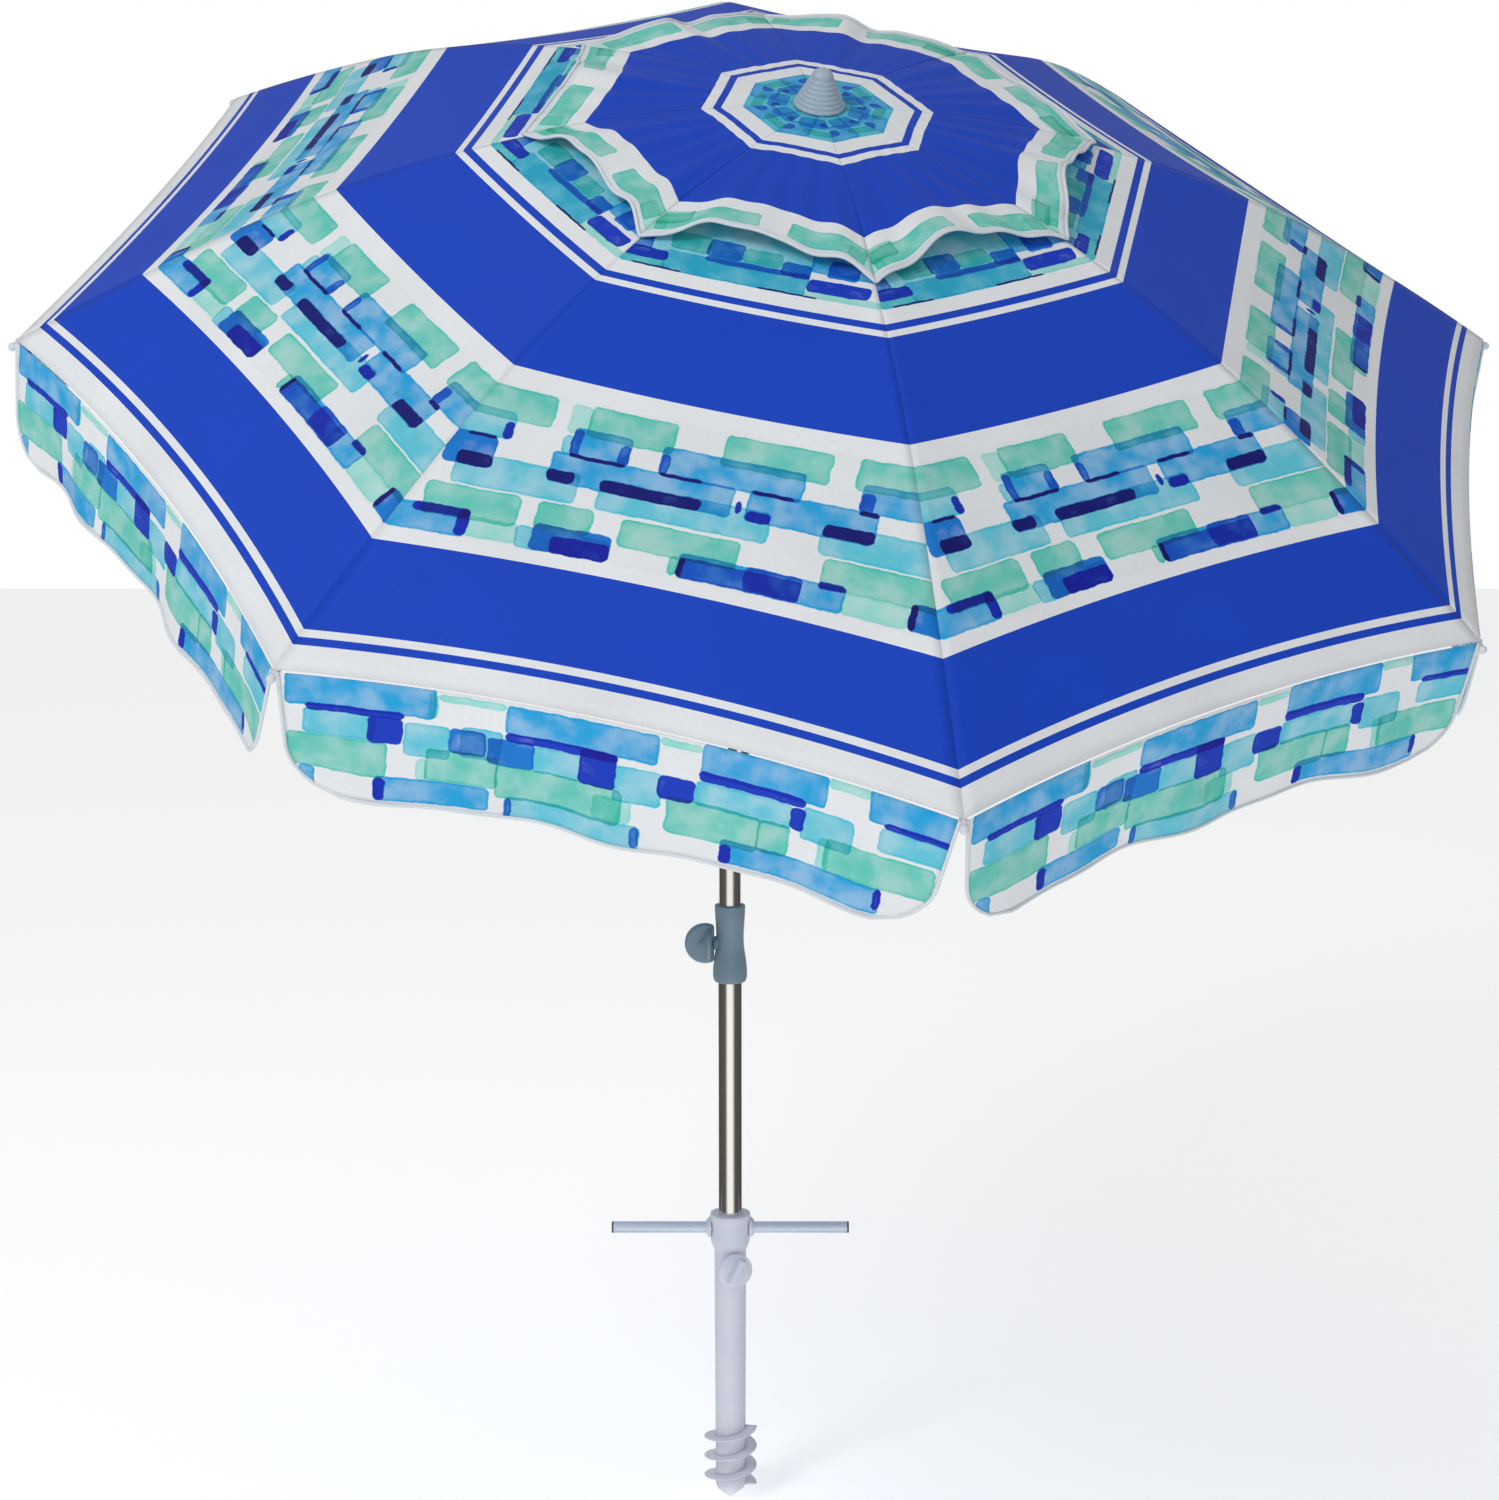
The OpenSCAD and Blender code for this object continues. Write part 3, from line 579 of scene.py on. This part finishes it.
ventBands = [
    (0.093, "crown"), (0.119, "white"), (0.129, "royal"), (0.143, "white"), (0.281, "royal"),
    (0.303, "white"), (0.343, "vent"), (0.354, "binding"),
]
vent = {
    "innerRadius": 0.028,
    "lift": 0.004,
    "edgeLift": 0.020,
    "edgeBow": 0.020,
    "waveHeight": 0.0065,
    "hemRadius": 0.354,
    "hemTape": 0.0022,
    "uses": ["crown", "white", "royal", "vent", "binding"],
}


def ventPoint(k, across, radius):
    loose = (radius / vent["hemRadius"]) ** 3
    arch = 1 - across ** 2
    phase = 1.3 * k + 0.9 * sin(2.1 * k)
    wave = sin(5.2 * across + phase) + 0.5 * sin(9.5 * across + 2 * phase)
    out = radius * acrossScale - loose * arch * (vent["edgeBow"] + 0.004 * wave)
    height = surfaceHeight(radius * (1 - 0.04 * arch * loose)) + vent["lift"]
    height += loose * arch * (vent["edgeLift"] + vent["waveHeight"] * wave)
    creases = 0.0012 * arch * smoothStep(0.10, 0.2, radius) * sin(15 * across + phase)
    return turned(goreAzimuth(k), out, across * radius * sideScale, height + creases)


def makeVentGore(k):
    rows = spacedRows([vent["innerRadius"]] + [end for end, _ in ventBands], 0.009)
    bm, spot = clothGrid(rows, 40, lambda a, r: ventPoint(k, a, r), lambda a, r: (a * r * sideScale, r))
    for face in bm.faces:
        middle = sum(spot[v][1] for v in face.verts) / len(face.verts)
        face.material_index = vent["uses"].index(bandOf(ventBands, middle))
    faceUp(bm, axisUp)
    area = sum(face.calc_area() for face in bm.faces)
    piece = keepPiece(f"ventGore{k}", bm, [clothMaterials[n] for n in vent["uses"]], f"panel_{k}",
                      ["vent_canopy"] if k == 1 else [])
    finishCloth(piece)
    hem = tubeAlong([ventPoint(k, a / 20 - 1, vent["hemRadius"]) for a in range(41)], vent["hemTape"],
                    f"ventHem{k}", f"panel_{k}", clothMaterials["binding"])
    foldFlat(piece)
    foldFlat(hem)


for k in range(1, canopy["gores"] + 1):
    makeVentGore(k)
print("vent canopy made")

valance = {
    "drop": 0.144,
    "flare": radians(6),
    "corner": 0.056,
    "topGap": 0.004,
    "narrowing": 0.11,
    "wave": 0.05,
    "bindingRadius": 0.0021,
}


def flapHalfWidth(drop):
    half = canopy["rimRadius"] * sideScale - valance["topGap"] - valance["narrowing"] * drop
    into = max(0.0, drop - (valance["drop"] - valance["corner"]))
    return half - valance["corner"] + sqrt(max(valance["corner"] ** 2 - into ** 2, 0))


def valancePoint(k, across, drop):
    side = across * flapHalfWidth(drop)
    atRim = side / (canopy["rimRadius"] * sideScale)
    arch = 1 - atRim ** 2
    out = canopy["rimRadius"] * acrossScale - stripeBow(canopy["rimRadius"]) * arch + 0.0016
    height = surfaceHeight(out / acrossScale) - 0.0015
    phase = 0.8 * k + 1.1 * sin(1.7 * k)
    wave = sin(9.0 * atRim + phase) + 0.45 * sin(17.0 * atRim + 1.9 * phase)
    out += drop * sin(valance["flare"]) + valance["wave"] * drop * wave * (0.35 + drop / valance["drop"]) * 0.6
    return turned(goreAzimuth(k), out, side, height - drop * cos(valance["flare"]))


def makeValance(k):
    rows = [valance["drop"] * i / 18 for i in range(19)]
    bm, spot = clothGrid(rows, 72, lambda a, d: valancePoint(k, a, d), lambda a, d: (a * flapHalfWidth(d), d))
    faceUp(bm, turned(goreAzimuth(k), 1, 0, 0) - turned(goreAzimuth(k), 0, 0, 0))
    area = sum(face.calc_area() for face in bm.faces)
    piece = keepPiece(f"valanceFlap{k}", bm, [clothMaterials["valance"]], f"valance_{k}",
                      [f"valance_{k}"])
    finishCloth(piece)
    edge = [valancePoint(k, -1, d) for d in rows]
    edge += [valancePoint(k, a / 30 - 1, valance["drop"]) for a in range(1, 60)]
    edge += [valancePoint(k, 1, d) for d in reversed(rows)]
    tape = tubeAlong(edge, valance["bindingRadius"], f"valanceBinding{k}", f"valance_{k}",
                     clothMaterials["binding"])
    foldFlat(piece)
    foldFlat(tape)


for k in range(1, canopy["gores"] + 1):
    makeValance(k)
print("valance made")


# ---- turned and moulded pieces ----
def turnedBody(outline, matrix, segments=72):
    # outline: (radius, height) points from the axis round to the axis again
    bm = bmesh.new()
    verts = [bm.verts.new((r, 0, z)) for r, z in outline]
    edges = [bm.edges.new(pair) for pair in zip(verts, verts[1:])]
    bmesh.ops.spin(bm, geom=verts + edges, cent=(0, 0, 0), axis=(0, 0, 1), angle=2 * pi, steps=segments,
                   use_merge=True)
    bmesh.ops.remove_doubles(bm, verts=bm.verts, dist=1e-6)
    bmesh.ops.recalc_face_normals(bm, faces=bm.faces)
    bmesh.ops.transform(bm, matrix=matrix, verts=bm.verts)
    return bm


def addInto(bm, other):
    mesh = bpy.data.meshes.new("joined")
    other.to_mesh(mesh)
    other.free()
    bm.from_mesh(mesh)
    bpy.data.meshes.remove(mesh)


finial = {"base": 0.031, "height": 0.047, "rings": 7, "top": 0.0135}


def makeFinial():
    outline = [(0, 0), (finial["base"], 0)]
    rise = (finial["height"] - 0.012) / finial["rings"]
    shrink = (finial["base"] - finial["top"]) / finial["rings"]
    for i in range(finial["rings"]):
        r, z = finial["base"] - i * shrink, i * rise
        outline += [(r, z + rise * 0.45), (r - 0.0006, z + rise * 0.68), (r - 0.0018, z + rise * 0.8),
                    (r - shrink * 0.9, z + rise * 0.86), (r - shrink, z + rise)]
    top = finial["height"] - 0.012
    outline += [(finial["top"] * cos(a * pi / 16), top + 0.012 * sin(a * pi / 16)) for a in range(1, 9)]
    bm = turnedBody(outline, canopyMatrix @ Matrix.Translation((0, 0, 0.0046)))
    keepPiece("finialCone", bm, [finialPlasticPaintedLight], "upper_pole", ["finial"])


ribTip = {"ball": 0.0052, "sleeve": 0.0038, "sink": 0.0056}


def makeRibTip(k):
    slope = asin((canopy["rimRadius"] - skirtX) / canopy["skirtBend"])
    reach = canopy["skirtBend"] - ribTip["sink"]
    place = Matrix.Rotation(ribAzimuth(k), 4, "Z")
    place = place @ Matrix.Translation((skirtX + reach * sin(slope), 0, skirtZ + reach * cos(slope)))
    place = place @ Matrix.Rotation(pi / 2 + slope, 4, "Y")
    outline = [(0, -0.012), (0.0030, -0.012), (ribTip["sleeve"], -0.0095), (ribTip["sleeve"], 0.0055)]
    outline += [(ribTip["ball"] * cos(a), 0.0095 + ribTip["ball"] * sin(a))
                for a in [radians(d) for d in range(-50, 91, 10)]]
    outline[-1] = (0, outline[-1][1])
    bm = turnedBody(outline, canopyMatrix @ place, 24)
    keepPiece(f"ribTip{k}", bm, [finishes["rib_steel"]], f"rib_{k}")


clothTie = {"radii": [0.52, 0.72], "tube": 0.0008, "loop": 0.0034, "steps": 16}


def makeClothTies(k):
    # narrow tape loops that hold the seam to the rib
    for number, radius in enumerate(clothTie["radii"], 1):
        height = surfaceHeight(radius) - ribTip["sink"]
        turns = [a * 2 * pi / clothTie["steps"] for a in range(clothTie["steps"] + 1)]
        loop = [turned(ribAzimuth(k), radius, clothTie["loop"] * cos(a), height + clothTie["loop"] * sin(a))
                for a in turns]
        tubeAlong(loop, clothTie["tube"], f"clothTie{k}_{number}", f"rib_{k}",
                  clothMaterials["binding"])


makeFinial()
for k in range(1, canopy["gores"] + 1):
    makeRibTip(k)
    makeClothTies(k)
print("finial, rib tips and ties made")

clampBody = {"bottom": 0.794, "top": 0.908, "bossRadius": 0.0088, "bossReach": 0.026, "knobHeight": 0.851}


def makeClampBody():
    low, high = clampBody["bottom"], clampBody["top"]
    outer = [(0.0176, 0), (0.0205, 0), (0.0222, 0.0008), (0.0238, 0.003), (0.0247, 0.007), (0.0250, 0.012),
             (0.0247, 0.020), (0.0240, 0.028), (0.0229, 0.036), (0.0216, 0.044), (0.0206, 0.052), (0.0200, 0.060),
             (0.0199, 0.068), (0.0202, 0.076), (0.0208, 0.086), (0.0215, 0.096), (0.0221, 0.106), (0.0223, 0.111),
             (0.0223, 0.1128), (0.0217, 0.114)]
    outline = [(r, low + z) for r, z in outer]
    outline += [(0.0170, high), (0.0165, high - 0.001), (0.0165, low + 0.042), (0.0176, low + 0.041),
                (0.0176, low)]
    bm = turnedBody(outline, Matrix())
    boss = bmesh.ops.create_cone(bm, segments=40, radius1=clampBody["bossRadius"] * 1.35,
                                 radius2=clampBody["bossRadius"], depth=0.010, cap_ends=True)
    place = Matrix.Translation((-clampBody["bossReach"] + 0.005, 0, clampBody["knobHeight"]))
    place = place @ Matrix.Rotation(-pi / 2, 4, "Y")
    bmesh.ops.transform(bm, matrix=place, verts=boss["verts"])
    keepPiece("clampBody", bm, [finishes["grey_plastic"]], "anchor", ["height_clamp"])


wing = {
    "radius": 0.0293,
    "thickness": 0.0150,
    "flatAt": 0.0135,
    "place": 0.0366,
    "hubPlace": 0.0266,
    "bevel": 0.0042,
}


def makeHeightKnob():
    bm = bmesh.new()
    bmesh.ops.create_circle(bm, cap_ends=True, segments=64, radius=wing["radius"])
    up = bmesh.ops.extrude_face_region(bm, geom=bm.faces[:])
    raised = [v for v in up["geom"] if isinstance(v, bmesh.types.BMVert)]
    bmesh.ops.translate(bm, verts=raised, vec=(0, 0, wing["thickness"]))
    bmesh.ops.translate(bm, verts=bm.verts, vec=(0, 0, -wing["thickness"] / 2))
    bmesh.ops.bisect_plane(bm, geom=bm.verts[:] + bm.edges[:] + bm.faces[:], plane_co=(wing["flatAt"], 0, 0),
                                 plane_no=(1, 0, 0), clear_outer=True)
    openEdges = [e for e in bm.edges if e.is_boundary]
    bmesh.ops.contextual_create(bm, geom=openEdges)
    bmesh.ops.recalc_face_normals(bm, faces=bm.faces)
    sharp = [e for e in bm.edges if e.is_manifold and e.calc_face_angle(0) > radians(50)]
    bmesh.ops.bevel(bm, geom=sharp, offset=wing["bevel"], affect="EDGES", segments=4, profile=0.5, material=-1)
    # local X runs towards the tube, local Z is the wing's thickness
    stand = Matrix.Translation((-wing["place"], 0, clampBody["knobHeight"])) @ Matrix.Rotation(pi / 2, 4, "X")
    bmesh.ops.transform(bm, matrix=stand, verts=bm.verts)
    hubOutline = [(0, 0), (0.0215, 0), (0.0238, 0.0012), (0.0246, 0.0035), (0.0240, 0.0062), (0.0215, 0.0078),
                  (0.0150, 0.0105), (0.0110, 0.0150), (0.0085, 0.0200), (0, 0.0210)]
    hub = turnedBody(hubOutline, Matrix.Translation((-wing["hubPlace"], 0, clampBody["knobHeight"]))
                     @ Matrix.Rotation(-pi / 2, 4, "Y"), 56)
    addInto(bm, hub)
    keepPiece("heightKnobWing", bm, [finishes["grey_plastic"]], "height_knob", ["height_knob"])


anchorKnob = {"radius": 0.02575, "height": 0.364, "turn": radians(14), "stand": 0.0282, "lean": radians(62)}


def makeAnchorKnob():
    edge = anchorKnob["radius"]
    outline = [(0, 0), (edge - 0.00175, 0), (edge - 0.00035, 0.0008), (edge, 0.0022), (edge - 0.00035, 0.0040),
               (edge - 0.00155, 0.0050), (0, 0.0052)]
    bm = turnedBody(outline, Matrix(), 64)
    bar = bmesh.ops.create_cube(bm, size=1)
    bmesh.ops.scale(bm, vec=(0.043, 0.0135, 0.0125), verts=bar["verts"])
    bmesh.ops.translate(bm, vec=(0, 0, 0.0105), verts=bar["verts"])
    # the grip narrows towards its top
    for vert in bar["verts"]:
        if vert.co.z > 0.0105:
            vert.co.x *= 0.90
            vert.co.y *= 0.62
    bmesh.ops.rotate(bm, verts=bar["verts"], cent=(0, 0, 0), matrix=Matrix.Rotation(anchorKnob["lean"], 3, "Z"))
    edges = list({e for v in bar["verts"] for e in v.link_edges})
    bmesh.ops.bevel(bm, geom=edges, offset=0.0016, affect="EDGES", segments=3, profile=0.5, material=-1)
    place = Matrix.Translation((0, 0, anchorKnob["height"])) @ Matrix.Rotation(anchorKnob["turn"], 4, "Z")
    place = place @ Matrix.Rotation(pi / 2, 4, "X") @ Matrix.Translation((0, 0, anchorKnob["stand"]))
    bmesh.ops.transform(bm, matrix=place, verts=bm.verts)
    keepPiece("anchorKnobGrip", bm, [finishes["anchor_plastic"]], "anchor_knob", ["anchor_knob"])


auger = {"root": 0.0205, "edge": 0.0393, "start": 0.021, "pitch": 0.0303, "turns": 3, "steps": 44}


def makeAuger():
    bm = bmesh.new()
    low, steps = auger["start"], auger["steps"] * auger["turns"]
    section = [(auger["root"], -0.0024), (0.030, -0.0013), (auger["edge"] - 0.0006, -0.0009), (auger["edge"], -0.0003),
               (auger["edge"], 0.0003), (auger["edge"] - 0.0006, 0.0009), (0.030, 0.0013), (auger["root"], 0.0024)]
    verts = [bm.verts.new((r, 0, low + z)) for r, z in section]
    edges = [bm.edges.new((a, verts[(i + 1) % len(verts)])) for i, a in enumerate(verts)]
    bmesh.ops.contextual_create(bm, geom=edges)
    bmesh.ops.spin(bm, geom=bm.verts[:] + bm.edges[:] + bm.faces[:], cent=(0, 0, 0), axis=(0, 0, 1),
                   dvec=(0, 0, auger["pitch"] / auger["steps"]), angle=2 * pi * auger["turns"], steps=steps)
    bmesh.ops.remove_doubles(bm, verts=bm.verts, dist=1e-6)
    bmesh.ops.recalc_face_normals(bm, faces=bm.faces)
    cone = turnedBody([(0, 0), (0.0010, 0.0006), (0.0195, 0.0165), (0.0212, 0.0195), (0.0220, 0.024), (0.0221, 0.0402),
                       (0, 0.0402)], Matrix(), 56)
    addInto(bm, cone)
    keepPiece("sandScrew", bm, [finishes["anchor_plastic"]], "anchor", ["anchor_auger"])


makeClampBody()
makeHeightKnob()
makeAnchorKnob()
makeAuger()
print("clamp, knobs and sand screw made")


# ---- studio ----
studio = {
    "floorSize": 30.0,
    "lens": 65.5,
    "sensor": 36.0,
    "cameraPlace": (0.0284, -3.891, 1.724),
    "cameraPitch": radians(8.6),
    "floorGlow": 0.44,
    "flagColour": (0.10, 0.098, 0.085, 1),
    "keyLight": {"place": (-2.6, -3.6, 4.6), "target": (0, -0.3, 1.6), "size": 1.8, "power": 92},
    "fillLight": {"place": (3.2, -3.0, 2.6), "target": (0, -0.2, 1.2), "size": 2.6, "power": 9},
    "worldLight": 0.50,
    "flagLight": 0.16,
}


def makeStage():
    bm = bmesh.new()
    bmesh.ops.create_grid(bm, x_segments=1, y_segments=1, size=studio["floorSize"] / 2)
    mesh = bpy.data.meshes.new("floor")
    bm.to_mesh(mesh)
    bm.free()
    floor = bpy.data.objects.new("floor", mesh)
    floor.location.z = -0.001
    bpy.context.collection.objects.link(floor)
    material, tree, shader = newMaterial("paleFloor")
    # dark flags beside the floor show only in reflections, where they edge the tubes
    split = addNode(tree, "ShaderNodeSeparateXYZ")
    join(tree, addNode(tree, "ShaderNodeTexCoord").outputs["Object"], split.inputs[0])
    side = mathNode(tree, "ABSOLUTE", split.outputs[0])
    front = mathNode(tree, "ABSOLUTE", split.outputs[1])
    share = mathNode(tree, "DIVIDE", side, mathNode(tree, "ADD", mathNode(tree, "ADD", side, front), 0.01))
    flag = rampNode(tree, share, 0.26, 0.52)
    mirrored = addNode(tree, "ShaderNodeLightPath").outputs["Is Glossy Ray"]
    dark = mathNode(tree, "MULTIPLY", flag, mirrored)
    join(tree, mixColour(tree, dark, (0.96, 0.965, 0.97, 1), studio["flagColour"]), shader.inputs["Base Color"])
    shader.inputs["Roughness"].default_value = 0.9
    shader.inputs["Emission Color"].default_value = (1, 1, 1, 1)
    join(tree, rampNode(tree, dark, 0, 1, studio["floorGlow"], 0), shader.inputs["Emission Strength"])
    mesh.materials.append(material)
    world = bpy.data.worlds.new("studioWorld")
    world.use_nodes = True
    tree = world.node_tree
    background = tree.nodes["Background"]
    background.inputs["Color"].default_value = (1, 1, 1, 1)
    # soft light all round, with dark flags left and right that the tubes mirror at their edges
    split = addNode(tree, "ShaderNodeSeparateXYZ")
    join(tree, addNode(tree, "ShaderNodeTexCoord").outputs["Generated"], split.inputs[0])
    sideways = mathNode(tree, "ABSOLUTE", split.outputs[0])
    soft = rampNode(tree, sideways, 0.55, 0.85, studio["worldLight"], studio["flagLight"])
    seen = addNode(tree, "ShaderNodeLightPath").outputs["Is Camera Ray"]
    shown = mathNode(tree, "MAXIMUM", mathNode(tree, "MULTIPLY", seen, 1.0), soft)
    join(tree, shown, background.inputs["Strength"])
    bpy.context.scene.world = world


def addLight(name, place, target, size, power):
    light = bpy.data.lights.new(name, "AREA")
    light.shape = "DISK"
    light.size = size
    light.energy = power
    holder = bpy.data.objects.new(name, light)
    holder.location = place
    holder.rotation_euler = (Vector(target) - Vector(place)).to_track_quat("-Z", "Y").to_euler()
    bpy.context.collection.objects.link(holder)


makeStage()
addLight("keyLight", **studio["keyLight"])
addLight("fillLight", **studio["fillLight"])

camera = bpy.data.cameras.new("camera")
camera.lens = studio["lens"]
camera.sensor_width = studio["sensor"]
camera.clip_start = 0.05
cameraHolder = bpy.data.objects.new("camera", camera)
cameraHolder.location = studio["cameraPlace"]
cameraHolder.rotation_euler = (pi / 2 - studio["cameraPitch"], 0, 0)
bpy.context.collection.objects.link(cameraHolder)
bpy.context.scene.camera = cameraHolder
bpy.context.scene.view_settings.view_transform = "Standard"
print("studio and camera set")
